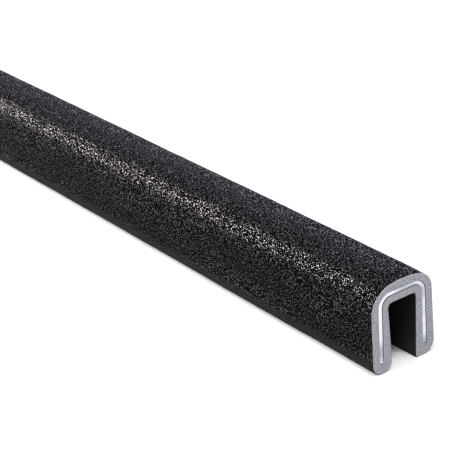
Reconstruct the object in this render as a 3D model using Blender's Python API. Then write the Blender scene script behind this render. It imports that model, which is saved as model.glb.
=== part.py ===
"""Edge trim seal: a rubber channel moulded round a bent metal core, cut from straight stock.

The trim stands on its two legs with the channel open downwards, as it would lie on a floor.
X runs along the trim, Y across it and Z up. The origin is on the floor, under the middle of
the length and of the width. Sizes are in metres.
"""

import math

import bpy

MM = 0.001

# The cut length
LENGTH = 304.8 * MM

# The rubber channel, across its section
HEIGHT = 14.3 * MM
FOOT_WIDTH = 11.9 * MM
SHOULDER_WIDTH = 11.55 * MM
CROWN_WALL = 3.35 * MM
SEAT_GAP = 5.4 * MM
MOUTH_GAP = 4.6 * MM

# The rounding of the rubber: an arched crown, one shoulder broader than the other, and small
# corners in the seat
CROWN_SLOPE = math.radians(8.5)
CROWN_RADIUS = 12.5 * MM
BROAD_SHOULDER_RADIUS = 4.4 * MM
TIGHT_SHOULDER_RADIUS = 3.3 * MM
SEAT_CORNER_RADIUS = 0.55 * MM

# The leg under the broad shoulder ends in a round tip. The other is rounded outside and has
# a tight lip at the mouth.
ROUND_TIP_OUTER_RADIUS = 1.9 * MM
ROUND_TIP_INNER_RADIUS = 1.65 * MM
LIP_TIP_OUTER_RADIUS = 2.1 * MM
LIP_TIP_INNER_RADIUS = 0.4 * MM

# The metal core, a strip bent to a channel inside the rubber, a little nearer the seat
CORE_THICKNESS = 0.62 * MM
CORE_BEND_RADIUS = 1.6 * MM
CORE_INSET = 0.1 * MM
CORE_FOOT_COVER = 1.9 * MM
CORE_CLEARANCE = 0.3 * MM

# How finely a round stretch is divided
ARC_STEP = math.radians(7.5)

# The underside of the crown, where a panel's edge comes to rest
SEAT_HEIGHT = HEIGHT - CROWN_WALL


def clear_scene():
    """Remove every object that the scene starts with."""
    for obj in list(bpy.data.objects):
        bpy.data.objects.remove(obj, do_unlink=True)


def make_material(name, colour, roughness, metallic):
    """Return a Principled material of one plain colour."""
    material = bpy.data.materials.new(name)
    material.use_nodes = True
    shader = material.node_tree.nodes["Principled BSDF"]
    shader.inputs["Base Color"].default_value = (*colour, 1.0)
    shader.inputs["Roughness"].default_value = roughness
    shader.inputs["Metallic"].default_value = metallic
    material.diffuse_color = (*colour, 1.0)
    return material


def heading(start, end):
    """Return the direction, as an angle, from one point of the section to another."""
    return math.atan2(end[1] - start[1], end[0] - start[0])


def round_corners(corners, closed):
    """Round the corners of a path through the section.

    Each corner is a point and a radius. An open path keeps its two ends sharp. Where two
    neighbouring roundings are too large for the run between them, both shrink to fit it.
    The path comes back as pairs of a point and the direction of travel there.
    """
    points = [point for point, _ in corners]
    count = len(points)
    turns = [0.0] * count
    tangents = [0.0] * count
    for i in range(0 if closed else 1, count if closed else count - 1):
        arriving = heading(points[i - 1], points[i])
        leaving = heading(points[i], points[(i + 1) % count])
        turns[i] = (leaving - arriving + math.pi) % (2 * math.pi) - math.pi
        tangents[i] = corners[i][1] * math.tan(abs(turns[i]) / 2)

    shares = [1.0] * count
    for i in range(count if closed else count - 1):
        following = (i + 1) % count
        run = math.dist(points[i], points[following])
        wanted = max(tangents[i] + tangents[following], run * 1e-6)
        share = min(1.0, 0.99 * run / wanted)
        shares[i] = min(shares[i], share)
        shares[following] = min(shares[following], share)

    path = []
    for i, point in enumerate(points):
        if turns[i] == 0.0:
            travel = heading(point, points[i + 1]) if i == 0 else heading(points[i - 1], point)
            path.append((point, travel))
        else:
            tangent = tangents[i] * shares[i]
            path += corner_arc(point, heading(points[i - 1], point), turns[i], tangent)
    return path


def corner_arc(corner, arriving, turn, tangent):
    """Return the arc that rounds one corner, from one tangent point to the other."""
    side = math.copysign(1.0, turn)
    radius = side * tangent / math.tan(abs(turn) / 2)
    centre_y = corner[0] - tangent * math.cos(arriving) - radius * math.sin(arriving)
    centre_z = corner[1] - tangent * math.sin(arriving) + radius * math.cos(arriving)
    steps = math.ceil(abs(turn) / ARC_STEP)
    arc = []
    for i in range(steps + 1):
        travel = arriving + turn * i / steps
        point = (centre_y + radius * math.sin(travel), centre_z - radius * math.cos(travel))
        arc.append((point, travel))
    return arc


def jacket_outline():
    """Return the outline of the rubber section with its channel, anticlockwise."""
    foot = FOOT_WIDTH / 2
    shoulder = SHOULDER_WIDTH / 2
    mouth = MOUTH_GAP / 2
    seat = SEAT_GAP / 2
    ridge_height = HEIGHT + CROWN_RADIUS * (1 / math.cos(CROWN_SLOPE) - 1)
    shoulder_height = ridge_height - shoulder * math.tan(CROWN_SLOPE)
    corners = [
        ((-mouth, 0.0), ROUND_TIP_INNER_RADIUS),
        ((-seat, SEAT_HEIGHT), SEAT_CORNER_RADIUS),
        ((seat, SEAT_HEIGHT), SEAT_CORNER_RADIUS),
        ((mouth, 0.0), LIP_TIP_INNER_RADIUS),
        ((foot, 0.0), LIP_TIP_OUTER_RADIUS),
        ((shoulder, shoulder_height), TIGHT_SHOULDER_RADIUS),
        ((0.0, ridge_height), CROWN_RADIUS),
        ((-shoulder, shoulder_height), BROAD_SHOULDER_RADIUS),
        ((-foot, 0.0), ROUND_TIP_OUTER_RADIUS),
    ]
    return [point for point, _ in round_corners(corners, closed=True)]


def core_offset(height):
    """Return how far from the middle plane the core's leg is at a height."""
    share = height / SEAT_HEIGHT
    outer = FOOT_WIDTH + (SHOULDER_WIDTH - FOOT_WIDTH) * share
    inner = MOUTH_GAP + (SEAT_GAP - MOUTH_GAP) * share
    return (outer + inner) / 4 - CORE_INSET


def core_outline(margin):
    """Return the outline of the bent core strip, grown by a margin on every side."""
    crown_height = HEIGHT - CROWN_WALL / 2 - CORE_INSET
    foot_height = CORE_FOOT_COVER - margin
    half_thickness = CORE_THICKNESS / 2 + margin
    bend_radius = CORE_BEND_RADIUS + CORE_THICKNESS / 2
    corners = [
        ((-core_offset(foot_height), foot_height), 0.0),
        ((-core_offset(crown_height), crown_height), bend_radius),
        ((core_offset(crown_height), crown_height), bend_radius),
        ((core_offset(foot_height), foot_height), 0.0),
    ]
    outside = []
    inside = []
    for (y, z), travel in round_corners(corners, closed=False):
        step_y = -half_thickness * math.sin(travel)
        step_z = half_thickness * math.cos(travel)
        outside.append((y + step_y, z + step_z))
        inside.append((y - step_y, z - step_z))
    return outside + inside[::-1]


def extrude_along_length(name, outlines, material, collection):
    """Make one straight piece of the full length from the closed outlines of its section.

    An outline that lies inside another becomes a hole that runs right through the piece.
    """
    curve = bpy.data.curves.new(name, "CURVE")
    curve.dimensions = "2D"
    curve.fill_mode = "BOTH"
    curve.extrude = LENGTH / 2
    for outline in outlines:
        spline = curve.splines.new("POLY")
        spline.points.add(len(outline) - 1)
        for point, (y, z) in zip(spline.points, outline):
            point.co = (y, z, 0.0, 1.0)
        spline.use_cyclic_u = True
    curve.materials.append(material)

    piece = bpy.data.objects.new(name, curve)
    piece.rotation_euler = (math.pi / 2, 0.0, math.pi / 2)
    collection.objects.link(piece)


def main():
    """Build the rubber jacket, with a slot for its core, and the metal core in that slot."""
    clear_scene()
    collection = bpy.data.collections.new("edge_trim_seal")
    bpy.context.scene.collection.children.link(collection)
    rubber = make_material("black_rubber", (0.022, 0.022, 0.024), 0.6, 0.0)
    metal = make_material("bright_metal", (0.84, 0.85, 0.86), 0.32, 1.0)
    core_slot = core_outline(CORE_CLEARANCE)
    extrude_along_length("jacket", [jacket_outline(), core_slot], rubber, collection)
    extrude_along_length("metal_core", [core_outline(0.0)], metal, collection)


main()
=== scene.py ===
"""Looks of the edge trim seal: grained black rubber, pale sawn ends and a bright metal core.

The trim lies along X with its channel open downwards. Sizes are in metres.
"""

from __future__ import annotations

import logging
import math
from dataclasses import dataclass, field
from enum import Enum
from typing import ClassVar, NamedTuple, Sequence

import bpy
import numpy as np
from mathutils import Matrix, Vector, noise


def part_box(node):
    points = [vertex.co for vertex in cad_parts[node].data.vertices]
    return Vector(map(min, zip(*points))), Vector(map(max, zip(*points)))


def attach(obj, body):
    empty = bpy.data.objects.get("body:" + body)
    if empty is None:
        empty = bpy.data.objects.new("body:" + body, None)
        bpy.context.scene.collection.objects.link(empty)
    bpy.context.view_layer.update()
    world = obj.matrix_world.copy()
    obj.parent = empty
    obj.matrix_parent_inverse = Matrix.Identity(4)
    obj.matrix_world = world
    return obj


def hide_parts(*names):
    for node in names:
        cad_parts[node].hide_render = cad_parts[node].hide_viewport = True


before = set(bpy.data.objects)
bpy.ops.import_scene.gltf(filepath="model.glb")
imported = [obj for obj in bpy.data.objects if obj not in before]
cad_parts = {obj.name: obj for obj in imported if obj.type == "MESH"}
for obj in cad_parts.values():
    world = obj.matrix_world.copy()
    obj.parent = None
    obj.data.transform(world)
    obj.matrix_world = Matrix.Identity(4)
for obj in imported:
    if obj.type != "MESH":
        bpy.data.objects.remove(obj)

MM = 0.001
log = logging.getLogger("edge_trim_seal")

Points = np.ndarray
Socket = bpy.types.NodeSocket
Colour = tuple[float, float, float]
Place = tuple[float, float, float]


class Span(NamedTuple):
    """The two ends of a range of values."""

    low: float
    high: float


class Corner(NamedTuple):
    """A corner of a path through the section, and the radius that rounds it."""

    y: float
    z: float
    radius: float


class Surface(Enum):
    """The surfaces of the rubber, each with its own finish. The value is its material index."""

    SKIN = 0
    CHANNEL = 1
    CUT = 2


class End(Enum):
    """The two cut ends. The value is the sign of X there."""

    FAR = -1
    NEAR = 1


class Operation(Enum):
    """The ways to join two values of a finish. The value is the node's name for it."""

    PRODUCT = "MULTIPLY"
    LARGER = "MAXIMUM"


def heading(start: Sequence[float], end: Sequence[float]) -> float:
    """Return the angle of the direction from one point of the section to another."""
    return math.atan2(end[1] - start[1], end[0] - start[0])


def rounded_path(corners: Sequence[Corner], arc_step: float = math.radians(2.0)) -> Points:
    """Round the inner corners of an open path through the section.

    Args:
        corners: The corners in order. The first and the last stay sharp.
        arc_step: The largest turn between two points of an arc.

    Returns:
        The points of the path, as rows of y and z.
    """
    path = [(corners[0].y, corners[0].z)]
    for before, corner, after in zip(corners, corners[1:], corners[2:]):
        arriving = heading(before[:2], corner[:2])
        turn = (heading(corner[:2], after[:2]) - arriving + math.pi) % (2 * math.pi) - math.pi
        tangent = corner.radius * math.tan(abs(turn) / 2)
        radius = math.copysign(corner.radius, turn)
        centre_y = corner.y - tangent * math.cos(arriving) - radius * math.sin(arriving)
        centre_z = corner.z - tangent * math.sin(arriving) + radius * math.cos(arriving)
        steps = math.ceil(abs(turn) / arc_step)
        for i in range(steps + 1):
            travel = arriving + turn * i / steps
            y = centre_y + radius * math.sin(travel)
            z = centre_z - radius * math.cos(travel)
            path.append((y, z))
    path.append((corners[-1].y, corners[-1].z))
    return np.array(path)


def evenly_spaced(path: Points, count: int) -> Points:
    """Place points evenly along a path.

    Args:
        path: The points of the path.
        count: How many points to place. The path's last point isn't one of them.

    Returns:
        The new points, starting at the path's first.
    """
    runs = np.linalg.norm(np.diff(path, axis=0), axis=1)
    reached = np.concatenate([[0.0], np.cumsum(runs)])
    wanted = np.arange(count) * reached[-1] / count
    return np.stack([np.interp(wanted, reached, path[:, axis]) for axis in (0, 1)], axis=1)


def outward_normals(loop: Points) -> Points:
    """Find the directions that point out of a closed loop.

    Args:
        loop: The points of the loop, anticlockwise seen from the near end.

    Returns:
        A unit normal for each point.
    """
    along = np.roll(loop, -1, axis=0) - np.roll(loop, 1, axis=0)
    along /= np.linalg.norm(along, axis=1)[:, None]
    return np.stack([along[:, 1], -along[:, 0]], axis=1)


@dataclass(frozen=True)
class Section:
    """The trim's cross-section, with the sizes of the solids and the lean of the core's left foot."""

    height: float = 14.3 * MM
    foot_width: float = 11.9 * MM
    shoulder_width: float = 11.55 * MM
    crown_wall: float = 3.35 * MM
    seat_gap: float = 5.4 * MM
    mouth_gap: float = 4.6 * MM
    crown_slope: float = math.radians(8.5)
    crown_radius: float = 12.5 * MM
    broad_shoulder_radius: float = 4.4 * MM
    tight_shoulder_radius: float = 3.3 * MM
    seat_corner_radius: float = 0.55 * MM
    round_tip_outer_radius: float = 1.9 * MM
    round_tip_inner_radius: float = 1.65 * MM
    lip_tip_outer_radius: float = 2.1 * MM
    lip_tip_inner_radius: float = 0.4 * MM
    core_thickness: float = 0.62 * MM
    core_bend_radius: float = 1.6 * MM
    core_inset: float = 0.1 * MM
    core_foot_cover: float = 1.9 * MM
    core_left_lean: float = 0.3 * MM
    core_left_reach: float = 0.15 * MM

    @property
    def seat_height(self) -> float:
        """Height of the channel's seat above the floor."""
        return self.height - self.crown_wall

    def tip_middle(self, inner_radius: float, outer_radius: float) -> float:
        """Find the lowest point of a leg's tip.

        Args:
            inner_radius: The tip's rounding on the channel's side.
            outer_radius: The tip's rounding on the outer side.

        Returns:
            The distance of that point from the middle plane.
        """
        mouth = self.mouth_gap / 2
        leg = self.foot_width / 2 - mouth
        return mouth + leg * inner_radius / (inner_radius + outer_radius)

    def channel_path(self) -> Points:
        """Draw the channel's side of the rubber.

        Returns:
            The points of the path, from the left tip to the right one.
        """
        left = self.tip_middle(self.round_tip_inner_radius, self.round_tip_outer_radius)
        right = self.tip_middle(self.lip_tip_inner_radius, self.lip_tip_outer_radius)
        mouth = self.mouth_gap / 2
        seat = self.seat_gap / 2
        return rounded_path([
            Corner(-left, 0.0, 0.0),
            Corner(-mouth, 0.0, self.round_tip_inner_radius),
            Corner(-seat, self.seat_height, self.seat_corner_radius),
            Corner(seat, self.seat_height, self.seat_corner_radius),
            Corner(mouth, 0.0, self.lip_tip_inner_radius),
            Corner(right, 0.0, 0.0),
        ])

    def skin_path(self) -> Points:
        """Draw the outer side of the rubber.

        Returns:
            The points of the path, from the right tip over the crown to the left one.
        """
        left = self.tip_middle(self.round_tip_inner_radius, self.round_tip_outer_radius)
        right = self.tip_middle(self.lip_tip_inner_radius, self.lip_tip_outer_radius)
        foot = self.foot_width / 2
        shoulder = self.shoulder_width / 2
        ridge = self.height + self.crown_radius * (1 / math.cos(self.crown_slope) - 1)
        shoulder_height = ridge - shoulder * math.tan(self.crown_slope)
        return rounded_path([
            Corner(right, 0.0, 0.0),
            Corner(foot, 0.0, self.lip_tip_outer_radius),
            Corner(shoulder, shoulder_height, self.tight_shoulder_radius),
            Corner(0.0, ridge, self.crown_radius),
            Corner(-shoulder, shoulder_height, self.broad_shoulder_radius),
            Corner(-foot, 0.0, self.round_tip_outer_radius),
            Corner(-left, 0.0, 0.0),
        ])

    def core_offset(self, height: float) -> float:
        """Find how far the core's leg is from the middle plane.

        Args:
            height: The height above the floor.

        Returns:
            The distance from the middle plane to the middle of the strip.
        """
        share = height / self.seat_height
        outer = self.foot_width + (self.shoulder_width - self.foot_width) * share
        inner = self.mouth_gap + (self.seat_gap - self.mouth_gap) * share
        return (outer + inner) / 4 - self.core_inset

    def core_side(self, margin: float, offset: float) -> Points:
        """Draw one side of the bent core strip.

        The left leg's foot lies a little further out and down than the drawn strip, inside its
        clearance.

        Args:
            margin: How far the ends of the side lie below the metal.
            offset: How far the side lies outside the strip's middle line.

        Returns:
            The points of the side from left to right. It starts and ends at the middle of the
            strip's edge.
        """
        crown = self.height - self.crown_wall / 2 - self.core_inset
        foot = self.core_foot_cover - margin
        low_foot = foot - self.core_left_reach
        crown_offset = self.core_offset(crown)
        foot_offset = self.core_offset(foot)
        left_offset = foot_offset + self.core_left_lean
        lean = math.atan2(crown_offset - foot_offset, crown - foot)
        step = offset / math.cos(lean)
        corner_step = offset * math.tan((math.pi / 2 - lean) / 2)
        bend = self.core_bend_radius + self.core_thickness / 2 + offset
        return rounded_path([
            Corner(-left_offset, low_foot, 0.0),
            Corner(-left_offset - step, low_foot, 0.0),
            Corner(-crown_offset - corner_step, crown + offset, bend),
            Corner(crown_offset + corner_step, crown + offset, bend),
            Corner(foot_offset + step, foot, 0.0),
            Corner(foot_offset, foot, 0.0),
        ])

    def core_sides(self, margin: float, shift: float = 0.0) -> tuple[Points, Points]:
        """Draw both sides of the bent core strip, grown by a margin.

        Args:
            margin: How far each side lies outside the metal.
            shift: How far the strip moves to the right and down.

        Returns:
            The side towards the channel from left to right, and the outer side from right to
            left. Each starts and ends at the middle of the strip's edge.
        """
        half = self.core_thickness / 2 + margin
        move = np.array([shift, -shift])
        inside = self.core_side(margin, -half)
        outside = self.core_side(margin, half)[::-1]
        return inside + move, outside + move


class Nodes:
    """A material's node tree, with short ways to add nodes to it."""

    openness_samples: ClassVar[int] = 32

    def __init__(self, name: str) -> None:
        """Start a material with one Principled shader.

        Args:
            name: The material's name.
        """
        self.material = bpy.data.materials.new(name)
        self.material.use_nodes = True
        self.tree = self.material.node_tree
        self.shader = self.tree.nodes["Principled BSDF"]
        self.place = self.tree.nodes.new("ShaderNodeTexCoord").outputs["Object"]
        self.relief: Socket | None = None

    def link(self, source: Socket, target: Socket) -> None:
        """Join an output to an input."""
        self.tree.links.new(source, target)

    def stretched(self, scale: Sequence[float]) -> Socket:
        """Stretch the coordinates.

        Args:
            scale: The factor along each axis.

        Returns:
            The place, scaled along each axis.
        """
        mapping = self.tree.nodes.new("ShaderNodeMapping")
        mapping.inputs["Scale"].default_value = tuple(scale)
        self.link(self.place, mapping.inputs["Vector"])
        return mapping.outputs["Vector"]

    def noise(
        self,
        scale: float,
        detail: float = 2.0,
        roughness: float = 0.5,
        place: Socket | None = None,
    ) -> Socket:
        """Add fractal noise.

        Args:
            scale: Cycles for each metre.
            detail: How many finer octaves are added.
            roughness: How strong those octaves are.
            place: The coordinates to read, or None for the object's own.

        Returns:
            The noise's value, about 0.5 on average.
        """
        node = self.tree.nodes.new("ShaderNodeTexNoise")
        node.inputs["Scale"].default_value = scale
        node.inputs["Detail"].default_value = detail
        node.inputs["Roughness"].default_value = roughness
        self.link(self.place if place is None else place, node.inputs["Vector"])
        return node.outputs["Fac"]

    def cells(self, scale: float) -> Socket:
        """Add a pattern of scattered rounded cells.

        Args:
            scale: Cells for each metre.

        Returns:
            The distance to the middle of the nearest cell.
        """
        node = self.tree.nodes.new("ShaderNodeTexVoronoi")
        node.inputs["Scale"].default_value = scale
        self.link(self.place, node.inputs["Vector"])
        return node.outputs["Distance"]

    def along(self, axis: str) -> Socket:
        """Read the place along one axis.

        Args:
            axis: The axis's letter.

        Returns:
            The place along it.
        """
        node = self.tree.nodes.new("ShaderNodeSeparateXYZ")
        self.link(self.place, node.inputs["Vector"])
        return node.outputs[axis]

    def openness(self, reach: float) -> Socket:
        """Find how open a point is to its surroundings.

        Args:
            reach: How far away a thing still shades the point.

        Returns:
            The openness, 0 for a point that is covered all round and 1 for an open one.
        """
        node = self.tree.nodes.new("ShaderNodeAmbientOcclusion")
        node.samples = self.openness_samples
        node.inputs["Distance"].default_value = reach
        return node.outputs["AO"]

    def join(self, operation: Operation, first: Socket, second: Socket) -> Socket:
        """Join two values into one.

        Args:
            operation: How they are joined.
            first: The first value.
            second: The second value.

        Returns:
            The joined value.
        """
        node = self.tree.nodes.new("ShaderNodeMath")
        node.operation = operation.value
        self.link(first, node.inputs[0])
        self.link(second, node.inputs[1])
        return node.outputs["Value"]

    def distance(self, y: float, z: float) -> Socket:
        """Measure how far the place is from a point, in the plane of the section.

        Args:
            y: The point's place across the trim.
            z: The point's height.

        Returns:
            The distance.
        """
        node = self.tree.nodes.new("ShaderNodeVectorMath")
        node.operation = "DISTANCE"
        node.inputs[1].default_value = (0.0, y, z)
        self.link(self.stretched((0.0, 1.0, 1.0)), node.inputs[0])
        return node.outputs["Value"]

    def ramp(self, value: Socket, source: Span, result: Span = Span(0.0, 1.0)) -> Socket:
        """Map a value from one range to another and hold it there.

        Args:
            value: The value to map.
            source: The value's own range.
            result: What the two ends of that range become.

        Returns:
            The mapped value.
        """
        node = self.tree.nodes.new("ShaderNodeMapRange")
        node.inputs["From Min"].default_value = source.low
        node.inputs["From Max"].default_value = source.high
        node.inputs["To Min"].default_value = result.low
        node.inputs["To Max"].default_value = result.high
        self.link(value, node.inputs["Value"])
        return node.outputs["Result"]

    def blend(
        self,
        share: Socket,
        first: Colour | Socket,
        second: Colour | Socket,
    ) -> Socket:
        """Add a mix of two colours.

        Args:
            share: How much of the second colour there is, from 0 to 1.
            first: The colour where the share is 0, or a socket that gives it.
            second: The colour where the share is 1, or a socket that gives it.

        Returns:
            The mixed colour.
        """
        node = self.tree.nodes.new("ShaderNodeMix")
        node.data_type = "RGBA"
        for name, colour in (("A", first), ("B", second)):
            if isinstance(colour, tuple):
                node.inputs[name].default_value = (*colour, 1.0)
            else:
                self.link(colour, node.inputs[name])
        self.link(share, node.inputs["Factor"])
        return node.outputs["Result"]

    def bumps(self, heights: Sequence[tuple[Socket, float]]) -> None:
        """Give the shader fine relief.

        Args:
            heights: Pairs of a value from 0 to 1 and the depth that it stands for.
        """
        previous = None
        for value, depth in heights:
            node = self.tree.nodes.new("ShaderNodeBump")
            node.inputs["Distance"].default_value = depth
            self.link(value, node.inputs["Height"])
            if previous is not None:
                self.link(previous, node.inputs["Normal"])
            previous = node.outputs["Normal"]
        self.relief = previous
        self.link(previous, self.shader.inputs["Normal"])

    def set(self, **values: float | Sequence[float]) -> None:
        """Set plain values on the shader, by socket name with _ for a space."""
        for name, value in values.items():
            self.shader.inputs[name.replace("_", " ")].default_value = value


@dataclass(frozen=True)
class GrainedRubber:
    """The outer skin: black rubber with a fine pebbled grain and painted glints.

    The three spans of the grain say where pits, darkened as painted shade, rise to peaks, where
    peaks pale to painted glints and where the polish sets in. Each leg's tip is smooth, and the
    grain starts above it.
    """

    grain_pitch: float = 0.21 * MM
    grain_depth: float = 0.03 * MM
    rise: Span = Span(0.50, 0.63)
    glint_span: Span = Span(0.62, 0.73)
    polishing: Span = Span(0.59, 0.70)
    pebble_pitch: float = 0.55 * MM
    pebble_depth: float = 0.03 * MM
    # The colour of the pits is painted shade in the grain's hollows.
    pit_shade: Colour = (0.0003, 0.0003, 0.0003)
    peak: Colour = (0.019, 0.0184, 0.0195)
    # The colour of the grain's highest points is a painted glint.
    tip: Colour = (0.05, 0.048, 0.05)
    moulded: Colour = (0.010, 0.0093, 0.009)
    grain_start: Span = Span(1.9 * MM, 2.9 * MM)
    roughness: float = 0.5
    haze: float = 0.002
    tip_polish: float = 0.07
    tip_grain: float = 0.3
    polish_roughness: float = 0.34
    polish_ior: float = 1.66

    def material(self) -> bpy.types.Material:
        """Mix the skin's finish.

        Returns:
            The skin's material.
        """
        nodes = Nodes("grained_rubber")
        grain = nodes.noise(1 / self.grain_pitch, detail=1.0, roughness=0.6)
        pebbles = nodes.cells(1 / self.pebble_pitch)
        up = nodes.along("Z")
        grained = nodes.ramp(up, self.grain_start, Span(self.tip_grain, 1.0))
        smooth = nodes.ramp(up, self.grain_start, Span(self.tip_polish, 0.0))
        height = nodes.ramp(grain, self.rise)
        glint_share = nodes.ramp(grain, self.glint_span)
        polish = nodes.ramp(grain, self.polishing)
        # Painted shade darkens the pits, and painted glints pale the grain's highest points.
        colour = nodes.blend(glint_share, nodes.blend(height, self.pit_shade, self.peak), self.tip)
        colour = nodes.blend(grained, self.moulded, colour)
        nodes.link(colour, nodes.shader.inputs["Base Color"])
        polish = nodes.join(Operation.PRODUCT, polish, grained)
        polish = nodes.join(Operation.LARGER, polish, smooth)
        nodes.link(polish, nodes.shader.inputs["Coat Weight"])
        height = nodes.join(Operation.PRODUCT, height, grained)
        nodes.set(
            Roughness=self.roughness,
            Specular_IOR_Level=self.haze,
            Coat_Roughness=self.polish_roughness,
            Coat_IOR=self.polish_ior,
        )
        nodes.bumps([(pebbles, -self.pebble_depth), (height, self.grain_depth)])
        nodes.link(nodes.relief, nodes.shader.inputs["Coat Normal"])
        return nodes.material


@dataclass(frozen=True)
class SmoothRubber:
    """The channel's inside: dense black rubber, nearly smooth, with faint lines along it."""

    dark: Colour = (0.011, 0.011, 0.011)
    light: Colour = (0.026, 0.026, 0.0255)
    line_pitch: float = 0.5 * MM
    line_depth: float = 0.02 * MM
    stretch: Place = (0.02, 1.0, 1.0)
    contrast: Span = Span(0.3, 0.7)
    roughness: Span = Span(0.5, 0.65)
    haze: float = 0.1

    def material(self) -> bpy.types.Material:
        """Mix the channel's finish.

        Returns:
            The channel's material.
        """
        nodes = Nodes("smooth_rubber")
        along = nodes.stretched(self.stretch)
        lines = nodes.noise(1 / self.line_pitch, detail=3.0, place=along)
        colour = nodes.blend(lines, self.dark, self.light)
        nodes.link(colour, nodes.shader.inputs["Base Color"])
        roughness = nodes.ramp(lines, self.contrast, self.roughness)
        nodes.link(roughness, nodes.shader.inputs["Roughness"])
        nodes.set(Specular_IOR_Level=self.haze)
        nodes.bumps([(lines, self.line_depth)])
        return nodes.material


@dataclass(frozen=True)
class SawnRubber:
    """The cut ends: the same rubber, paled to grey by the saw, mottled and finely torn."""

    dark: Colour = (0.120, 0.128, 0.144)
    light: Colour = (0.395, 0.414, 0.456)
    warm: Colour = (0.315, 0.290, 0.308)
    cloud_pitch: float = 1.5 * MM
    cloud_contrast: Span = Span(0.35, 0.75)
    clouded: Span = Span(0.0, 0.6)
    tear_pitch: float = 0.3 * MM
    tear_depth: float = 0.04 * MM
    tear_contrast: Span = Span(0.35, 0.65)
    saw_lines: Place = (0.0, 5000.0, 1100.0)
    line_depth: float = 0.02 * MM
    line_contrast: Span = Span(0.5, 0.8)
    lined: Span = Span(0.0, 0.35)
    rough_contrast: Span = Span(0.3, 0.7)
    roughness: Span = Span(0.6, 0.8)
    haze: float = 0.3

    def material(self) -> bpy.types.Material:
        """Mix the cut face's finish.

        Returns:
            The cut face's material.
        """
        nodes = Nodes("sawn_rubber")
        clouds = nodes.noise(1 / self.cloud_pitch, detail=3.0, roughness=0.6)
        tears = nodes.noise(1 / self.tear_pitch, detail=3.0, roughness=0.7)
        lines = nodes.noise(1.0, detail=1.0, place=nodes.stretched(self.saw_lines))
        torn = nodes.blend(nodes.ramp(tears, self.tear_contrast), self.dark, self.light)
        tint = nodes.ramp(clouds, self.cloud_contrast, self.clouded)
        tinted = nodes.blend(tint, torn, self.warm)
        sawing = nodes.ramp(lines, self.line_contrast, self.lined)
        sawn = nodes.blend(sawing, tinted, self.light)
        nodes.link(sawn, nodes.shader.inputs["Base Color"])
        roughness = nodes.ramp(tears, self.rough_contrast, self.roughness)
        nodes.link(roughness, nodes.shader.inputs["Roughness"])
        nodes.set(Specular_IOR_Level=self.haze)
        nodes.bumps([(tears, self.tear_depth), (lines, self.line_depth)])
        return nodes.material


@dataclass(frozen=True)
class DimSpot:
    """A place on the core round which its colour is dulled, fading out from a point of the section.
    """

    y: float
    z: float
    reach: float
    strength: float


@dataclass(frozen=True)
class BrightMetal:
    """The core: bright sheet metal, sheared at the ends, and dulled round a few given points."""

    bright: Colour = (0.84, 0.85, 0.89)
    dull: Colour = (0.42, 0.435, 0.48)
    dim_spots: tuple[DimSpot, ...] = (
        DimSpot(-4.2 * MM, 3.6 * MM, 2.0 * MM, 1.0),
        DimSpot(1.0 * MM, 12.5 * MM, 3.2 * MM, 0.85),
        DimSpot(4.1 * MM, 10.5 * MM, 2.0 * MM, 0.8),
        DimSpot(4.1 * MM, 7.6 * MM, 1.8 * MM, 0.4),
        DimSpot(4.1 * MM, 1.95 * MM, 1.75 * MM, 1.0),
    )
    core_of_dim_spot: float = 0.3
    patch_pitch: float = 1.0 * MM
    patch_contrast: Span = Span(0.45, 0.75)
    patched: Span = Span(0.0, 0.25)
    scratch_pitch: float = 0.12 * MM
    scratch_depth: float = 0.01 * MM
    scratch_contrast: Span = Span(0.3, 0.7)
    roughness: Span = Span(0.25, 0.45)

    def material(self) -> bpy.types.Material:
        """Mix the metal's finish.

        Returns:
            The core's material.
        """
        nodes = Nodes("bright_metal")
        scratches = nodes.noise(1 / self.scratch_pitch, detail=3.0)
        clouds = nodes.noise(1 / self.patch_pitch)
        patches = nodes.ramp(clouds, self.patch_contrast, self.patched)
        colour = nodes.blend(patches, self.bright, self.dull)
        # The colour is dulled round each given point of the section, all along the core.
        for dim_spot in self.dim_spots:
            away = nodes.distance(dim_spot.y, dim_spot.z)
            fade = Span(dim_spot.reach, dim_spot.reach * self.core_of_dim_spot)
            share = nodes.ramp(away, fade, Span(0.0, dim_spot.strength))
            colour = nodes.blend(share, colour, self.dull)
        nodes.link(colour, nodes.shader.inputs["Base Color"])
        roughness = nodes.ramp(scratches, self.scratch_contrast, self.roughness)
        nodes.link(roughness, nodes.shader.inputs["Roughness"])
        nodes.set(Metallic=1.0)
        nodes.bumps([(scratches, self.scratch_depth)])
        return nodes.material


@dataclass(frozen=True)
class PaleFloor:
    """The studio's plain pale floor, which also shines a little where it lies open.

    Where it is less open than the opening's low end, as deep in the trim's mouth, it is dark:
    painted shade in its colour and its shine.
    """

    colour: Colour = (0.315, 0.315, 0.317)
    glow: Colour = (0.86, 0.86, 0.865)
    shade: Colour = (0.004, 0.004, 0.004)
    shine: float = 0.34
    reach: float = 12.0 * MM
    opening: Span = Span(0.205, 0.265)
    roughness: float = 0.9
    haze: float = 0.1

    def material(self) -> bpy.types.Material:
        """Mix the floor's finish.

        Returns:
            The floor's material.
        """
        nodes = Nodes("pale_floor")
        # Painted shade: where the floor is covered, its colour and its shine turn to the shade
        # colour.
        lit = nodes.ramp(nodes.openness(self.reach), self.opening)
        nodes.link(nodes.blend(lit, self.shade, self.colour), nodes.shader.inputs["Base Color"])
        nodes.link(nodes.blend(lit, self.shade, self.glow), nodes.shader.inputs["Emission Color"])
        nodes.set(
            Roughness=self.roughness,
            Specular_IOR_Level=self.haze,
            Emission_Strength=self.shine,
        )
        return nodes.material


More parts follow.
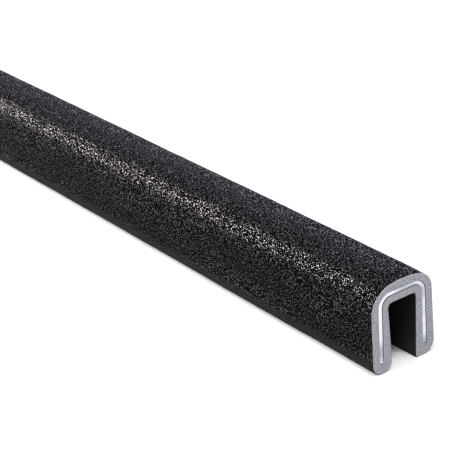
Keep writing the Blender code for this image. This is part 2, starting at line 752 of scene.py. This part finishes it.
@dataclass
class MeshParts:
    """Points and faces of a mesh under construction, with each face's material index."""

    points: list[Points] = field(default_factory=list)
    faces: list[Points] = field(default_factory=list)
    surfaces: list[Points] = field(default_factory=list)
    count: int = 0

    def add_ring(self, x: float, loop: Points) -> Points:
        """Add the points of a closed loop.

        Args:
            x: The loop's place along X.
            loop: The points, as rows of y and z.

        Returns:
            The numbers of the new points.
        """
        ring = np.column_stack([np.broadcast_to(x, len(loop)), loop])
        self.points.append(ring)
        numbers = np.arange(self.count, self.count + len(loop))
        self.count += len(loop)
        return numbers

    def bridge(self, first: Points, second: Points, surfaces: Points | int) -> None:
        """Join two rings of as many points with four-sided faces.

        Args:
            first: The numbers of the first ring's points.
            second: The numbers of the second ring's points.
            surfaces: The material index of the face that starts at each point, or one for all.
        """
        quads = np.stack([first, np.roll(first, -1), np.roll(second, -1), second], axis=1)
        self.faces.append(quads)
        self.surfaces.append(np.broadcast_to(surfaces, len(first)))

    def mesh(self, name: str) -> bpy.types.Mesh:
        """Make the mesh.

        Args:
            name: The mesh's name.

        Returns:
            The finished mesh, with its faces pointing out.
        """
        mesh = bpy.data.meshes.new(name)
        quads = np.concatenate(self.faces)
        mesh.vertices.add(self.count)
        mesh.vertices.foreach_set("co", np.concatenate(self.points).astype(np.float32).ravel())
        mesh.loops.add(quads.size)
        mesh.loops.foreach_set("vertex_index", quads.astype(np.int32).ravel())
        mesh.polygons.add(len(quads))
        mesh.polygons.foreach_set("loop_start", np.arange(0, quads.size, 4, dtype=np.int32))
        mesh.polygons.foreach_set("material_index", np.concatenate(self.surfaces).astype(np.int32))
        mesh.update(calc_edges=True)
        mesh.validate()
        return mesh


@dataclass
class Jacket:
    """The moulded rubber: grained skin, smooth channel and a sawn face at each end."""

    section: Section
    length: float
    skin_points: int = 136
    channel_points: int = 40
    end_pitch: float = 0.2 * MM
    end_run: float = 8.0 * MM
    middle_pitch: float = 0.64 * MM
    face_rings: int = 7
    rim: float = 0.05 * MM
    core_margin: float = 0.06 * MM
    core_shift: float = 0.05 * MM
    swell_pitch: float = 3.2 * MM
    swell: float = 0.03 * MM
    pebble_pitch: float = 1.1 * MM
    pebble: float = 0.02 * MM
    wave_pitch: float = 13.0 * MM
    wave: float = 0.06 * MM
    press: float = 0.22 * MM
    press_run: float = 6.0 * MM
    sharp_angle: float = math.radians(35.0)

    def outline(self) -> Points:
        """Return the rubber's closed outline: the channel's side, then the skin's."""
        return np.concatenate([
            evenly_spaced(self.section.channel_path(), self.channel_points),
            evenly_spaced(self.section.skin_path(), self.skin_points),
        ])

    def slot(self) -> Points:
        """Return the closed outline of the slot that holds the core, point for point."""
        inside, outside = self.section.core_sides(self.core_margin, self.core_shift)
        return np.concatenate([
            evenly_spaced(inside, self.channel_points),
            evenly_spaced(outside, self.skin_points),
        ])

    def stations(self) -> Points:
        """Place the rings along X.

        Returns:
            The places, closer together near both ends.
        """
        half = self.length / 2 - self.rim
        fine = np.linspace(0.0, self.end_run, round(self.end_run / self.end_pitch), endpoint=False)
        middle = 2 * (half - self.end_run)
        count = round(middle / self.middle_pitch)
        coarse = np.linspace(self.end_run, self.end_run + middle, count)
        return np.concatenate([fine, coarse, 2 * half - fine[::-1]]) - half

    def relief(self, x: float, loop: Points) -> Points:
        """Find the skin's soft relief at one ring.

        Args:
            x: The ring's place along X.
            loop: The points of the drawn outline.

        Returns:
            How far each point stands proud of the outline. The channel's points don't.
        """
        raised = np.zeros(len(loop))
        for i in range(self.channel_points, len(loop)):
            place = Vector((x, loop[i, 0], loop[i, 1]))
            raised[i] = self.swell * noise.noise(place / self.swell_pitch)
            raised[i] += self.pebble * noise.noise(place / self.pebble_pitch)
            raised[i] += self.wave * noise.noise(place / self.wave_pitch)
        return raised

    def pressed(self, x: float, loop: Points) -> Points:
        """Press a ring's crown down a little, where the saw went through.

        Args:
            x: The ring's place along X.
            loop: The ring's points.

        Returns:
            The ring's new points. Only those above the seat move.
        """
        run = self.length / 2 - abs(x)
        nearness = max(0.0, 1 - run / self.press_run) ** 2
        seat = self.section.seat_height
        share = np.clip((loop[:, 1] - seat) / (self.section.height - seat), 0.0, 1.0)
        lowered = loop.copy()
        lowered[:, 1] -= self.press * nearness * share
        return lowered

    def build(self) -> bpy.types.Object:
        """Build the rubber as one closed mesh.

        Returns:
            The rubber's object.
        """
        parts = MeshParts()
        outline = self.outline()
        slot = self.slot()
        normals = outward_normals(outline)
        surfaces = np.full(len(outline), Surface.SKIN.value)
        surfaces[: self.channel_points] = Surface.CHANNEL.value

        rings = []
        for x in self.stations():
            shaped = outline + normals * self.relief(x, outline)[:, None]
            shaped[:, 1] = np.maximum(shaped[:, 1], 0.0)
            rings.append(parts.add_ring(x, self.pressed(x, shaped)))
        for first, second in zip(rings, rings[1:]):
            parts.bridge(second, first, surfaces)

        slot_rings = [self.build_face(parts, end, outline, slot, rings) for end in End]
        parts.bridge(slot_rings[0], slot_rings[1], Surface.CHANNEL.value)
        return bpy.data.objects.new("trim_jacket", parts.mesh("trim_jacket"))

    def build_face(
        self,
        parts: MeshParts,
        end: End,
        outline: Points,
        slot: Points,
        rings: Sequence[Points],
    ) -> Points:
        """Build one sawn face, from the skin's rim in to the core's slot.

        Args:
            parts: The mesh to add to.
            end: Which end it is.
            outline: The rubber's outline.
            slot: The slot's outline.
            rings: The rings of the skin along X.

        Returns:
            The numbers of the points round the slot at this end.
        """
        last = rings[0] if end is End.FAR else rings[-1]
        face_x = end.value * self.length / 2
        edge = np.concatenate(parts.points)[last][:, 1:]
        for i in range(self.face_rings + 1):
            share = i / self.face_rings
            loop = edge * (1 - share) + slot * share
            if i == 0:
                loop = loop - outward_normals(outline) * self.rim
            ring = parts.add_ring(face_x, loop)
            pair = (ring, last) if end is End.NEAR else (last, ring)
            parts.bridge(*pair, Surface.CUT.value)
            last = ring
        return last

    def dress(self, piece: bpy.types.Object) -> None:
        """Give the rubber its three finishes and smooth shading.

        Args:
            piece: The rubber's object.
        """
        for finish in (GrainedRubber(), SmoothRubber(), SawnRubber()):
            piece.data.materials.append(finish.material())
        piece.data.shade_smooth()
        piece.data.set_sharp_from_angle(angle=self.sharp_angle)

    def make(self) -> bpy.types.Object:
        """Build and dress the rubber, and put it in the frame.

        Returns:
            The rubber's object.
        """
        piece = self.build()
        self.dress(piece)
        bpy.context.scene.collection.objects.link(piece)
        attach(piece, "root")
        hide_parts("jacket")
        return piece


@dataclass
class Core:
    """The bent metal strip, with its cut edges a little rounded by the shears."""

    section: Section
    length: float
    side_points: int = 90
    edge_roll: float = 0.06 * MM
    roll_steps: int = 3
    stand_out: float = 0.02 * MM
    sharp_angle: float = math.radians(50.0)
    material_index: int = 0

    def loop(self, margin: float) -> Points:
        """Return the strip's closed outline, grown by a margin."""
        inside, outside = self.section.core_sides(margin)
        return np.concatenate([
            evenly_spaced(inside, self.side_points),
            evenly_spaced(outside, self.side_points),
        ])

    def build(self) -> bpy.types.Object:
        """Build the strip as one closed mesh.

        Returns:
            The strip's object.
        """
        parts = MeshParts()
        half = self.length / 2 + self.stand_out
        rings = []
        for end in End:
            for i in range(self.roll_steps + 1):
                angle = math.pi / 2 * i / self.roll_steps
                x = end.value * (half - self.edge_roll * (1 - math.sin(angle)))
                inset = self.edge_roll * (1 - math.cos(angle))
                rings.append(parts.add_ring(x, self.loop(-inset)))
        far = rings[: self.roll_steps + 1][::-1]
        near = rings[self.roll_steps + 1 :]
        for first, second in zip(far + near, (far + near)[1:]):
            parts.bridge(second, first, self.material_index)
        for end, ring in ((End.FAR, far[0]), (End.NEAR, near[-1])):
            self.close(parts, end, ring)
        return bpy.data.objects.new("trim_core", parts.mesh("trim_core"))

    def close(self, parts: MeshParts, end: End, ring: Points) -> None:
        """Close one end of the strip with faces across its thickness.

        Args:
            parts: The mesh to add to.
            end: Which end it is.
            ring: The numbers of the points round the strip there.
        """
        count = len(ring)
        for i in range(self.side_points):
            inner = [ring[i], ring[i + 1]]
            outer = [ring[count - i - 1], ring[(count - i) % count]]
            across = inner + outer
            if end is End.NEAR:
                across.reverse()
            parts.faces.append(np.array([across]))
            parts.surfaces.append(np.array([self.material_index]))

    def make(self) -> bpy.types.Object:
        """Build and dress the core, and put it in the frame.

        Returns:
            The core's object.
        """
        piece = self.build()
        piece.data.materials.append(BrightMetal().material())
        piece.data.shade_smooth()
        piece.data.set_sharp_from_angle(angle=self.sharp_angle)
        bpy.context.scene.collection.objects.link(piece)
        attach(piece, "root")
        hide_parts("metal_core")
        return piece


@dataclass(frozen=True)
class View:
    """The camera, placed from the middle of the near cut end as in the photograph."""

    aim_height: float = 6.50 * MM
    offset: Place = (147.5 * MM, -128.05 * MM, 110.8 * MM)
    right: Place = (0.5867, 0.8054, -0.0834)
    up: Place = (-0.3041, 0.3146, 0.8992)
    lens: float = 122.8
    sensor: float = 36.0
    nearest: float = 0.01
    farthest: float = 20.0

    def make(self, near_end: float) -> bpy.types.Object:
        """Place the camera.

        Args:
            near_end: Where along X the near cut end lies.

        Returns:
            The camera's object, which is the scene's camera.
        """
        data = bpy.data.cameras.new("camera")
        data.lens = self.lens
        data.sensor_width = self.sensor
        data.clip_start = self.nearest
        data.clip_end = self.farthest
        right = Vector(self.right).normalized()
        back = right.cross(Vector(self.up)).normalized()
        turn = Matrix((right, back.cross(right), back)).transposed()
        camera = bpy.data.objects.new("camera", data)
        place = Vector((near_end, 0.0, self.aim_height)) + Vector(self.offset)
        camera.matrix_world = Matrix.Translation(place) @ turn.to_4x4()
        bpy.context.scene.collection.objects.link(camera)
        bpy.context.scene.camera = camera
        return camera


@dataclass(frozen=True)
class SoftBox:
    """A square studio light that shines at a point."""

    name: str
    place: Place
    side: float
    power: float
    colour: Colour = (1.0, 1.0, 1.0)
    mirrored: bool = True

    def make(self, target: Vector) -> bpy.types.Object:
        """Hang the light and turn it to its target.

        Args:
            target: The point that it shines at.

        Returns:
            The light's object.
        """
        data = bpy.data.lights.new(self.name, "AREA")
        data.shape = "SQUARE"
        data.size = self.side
        data.energy = self.power
        data.color = self.colour
        light = bpy.data.objects.new(self.name, data)
        light.location = self.place
        light.rotation_euler = (target - Vector(self.place)).to_track_quat("-Z", "Y").to_euler()
        light.visible_glossy = self.mirrored
        bpy.context.scene.collection.objects.link(light)
        return light


@dataclass(frozen=True)
class Glow:
    """A soft bright patch of the dark room, seen only as a sheen.

    It grows as the cosine of the angle to its middle goes from the start to the full value.
    """

    towards: Place
    strength: float
    colour: Colour
    start: float
    full: float

    def shine(self, tree: bpy.types.NodeTree, direction: Socket) -> Socket:
        """Add the glow's light to the room's node tree.

        Args:
            tree: The node tree.
            direction: The direction that is looked in.

        Returns:
            The glow's light alone.
        """
        angle = tree.nodes.new("ShaderNodeVectorMath")
        angle.operation = "DOT_PRODUCT"
        angle.inputs[1].default_value = Vector(self.towards).normalized()
        fade = tree.nodes.new("ShaderNodeMapRange")
        fade.interpolation_type = "SMOOTHSTEP"
        fade.inputs["From Min"].default_value = self.start
        fade.inputs["From Max"].default_value = self.full
        fade.inputs["To Max"].default_value = self.strength
        light = tree.nodes.new("ShaderNodeBackground")
        light.inputs["Color"].default_value = (*self.colour, 1.0)
        tree.links.new(direction, angle.inputs[0])
        tree.links.new(angle.outputs["Value"], fade.inputs["Value"])
        tree.links.new(fade.outputs["Result"], light.inputs["Strength"])
        return light.outputs["Background"]


@dataclass(frozen=True)
class Studio:
    """A plain pale floor under soft light, in a dark room with two soft glows.

    The backdrop has the grey that the floor fades to in the distance.
    """

    floor_side: float = 12.0
    lit_from_end: float = 50.0 * MM
    backdrop: Colour = (0.372, 0.372, 0.395)
    room: Colour = (0.03, 0.03, 0.032)
    glows: tuple[Glow, ...] = (
        Glow((-0.66, 0.74, 0.12), 3.0, (0.78, 0.79, 1.0), 0.75, 1.0),
        Glow((-0.75, 0.50, 0.40), 0.5, (0.80, 0.80, 1.0), 0.6, 1.0),
    )
    boxes: tuple[SoftBox, ...] = (
        SoftBox("top_light", (0.45, -0.04, 1.3), 0.8, 45.0, (1.0, 1.0, 1.0), False),
        SoftBox("key_light", (-0.45, -0.35, 0.33), 0.42, 16.5, (1.0, 0.93, 0.91)),
    )

    def make_floor(self) -> bpy.types.Object:
        """Lay the floor just under the trim.

        Returns:
            The floor's object.
        """
        half = self.floor_side / 2
        corners = [(-half, -half, 0.0), (half, -half, 0.0), (half, half, 0.0), (-half, half, 0.0)]
        mesh = bpy.data.meshes.new("floor")
        mesh.from_pydata(corners, [], [(0, 1, 2, 3)])
        mesh.materials.append(PaleFloor().material())
        floor = bpy.data.objects.new("floor", mesh)
        bpy.context.scene.collection.objects.link(floor)
        return floor

    def make_world(self) -> None:
        """Fill the room with faint light and its soft glows, behind a plain backdrop."""
        world = bpy.data.worlds.new("studio")
        bpy.context.scene.world = world
        world.use_nodes = True
        tree = world.node_tree
        direction = tree.nodes.new("ShaderNodeTexCoord").outputs["Generated"]
        room = tree.nodes["Background"]
        room.inputs["Color"].default_value = (*self.room, 1.0)
        light = room.outputs["Background"]
        for glow in self.glows:
            shine = glow.shine(tree, direction)
            both = tree.nodes.new("ShaderNodeAddShader")
            tree.links.new(light, both.inputs[0])
            tree.links.new(shine, both.inputs[1])
            light = both.outputs["Shader"]
        self.hang_backdrop(tree, light)

    def hang_backdrop(self, tree: bpy.types.NodeTree, light: Socket) -> None:
        """Show the plain backdrop behind the floor, in place of the room that lights the trim.

        Args:
            tree: The room's node tree.
            light: The light of the room with its glows.
        """
        backdrop = tree.nodes.new("ShaderNodeBackground")
        backdrop.inputs["Color"].default_value = (*self.backdrop, 1.0)
        seen = tree.nodes.new("ShaderNodeLightPath").outputs["Is Camera Ray"]
        shown = tree.nodes.new("ShaderNodeMixShader")
        tree.links.new(seen, shown.inputs["Fac"])
        tree.links.new(light, shown.inputs[1])
        tree.links.new(backdrop.outputs["Background"], shown.inputs[2])
        tree.links.new(shown.outputs["Shader"], tree.nodes["World Output"].inputs["Surface"])

    def make(self, near_end: float) -> None:
        """Set up the floor, the room and the lights.

        Args:
            near_end: Where along X the near cut end lies. The lights shine at a point just
                behind it.
        """
        target = Vector((near_end - self.lit_from_end, 0.0, 0.0))
        bpy.context.scene.view_settings.view_transform = "Standard"
        self.make_floor()
        self.make_world()
        for box in self.boxes:
            box.make(target)


def main() -> None:
    """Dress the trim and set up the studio."""
    logging.basicConfig(level=logging.INFO, format="%(message)s")
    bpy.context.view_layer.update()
    low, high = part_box("jacket")
    length = high.x - low.x
    section = Section()

    View().make(high.x)
    for sub_assembly in (Jacket(section, length), Core(section, length)):
        piece = sub_assembly.make()
        log.info("%s: %d faces", piece.name, len(piece.data.polygons))
    Studio().make(high.x)

    bpy.context.view_layer.update()


if __name__ == "__main__":
    main()
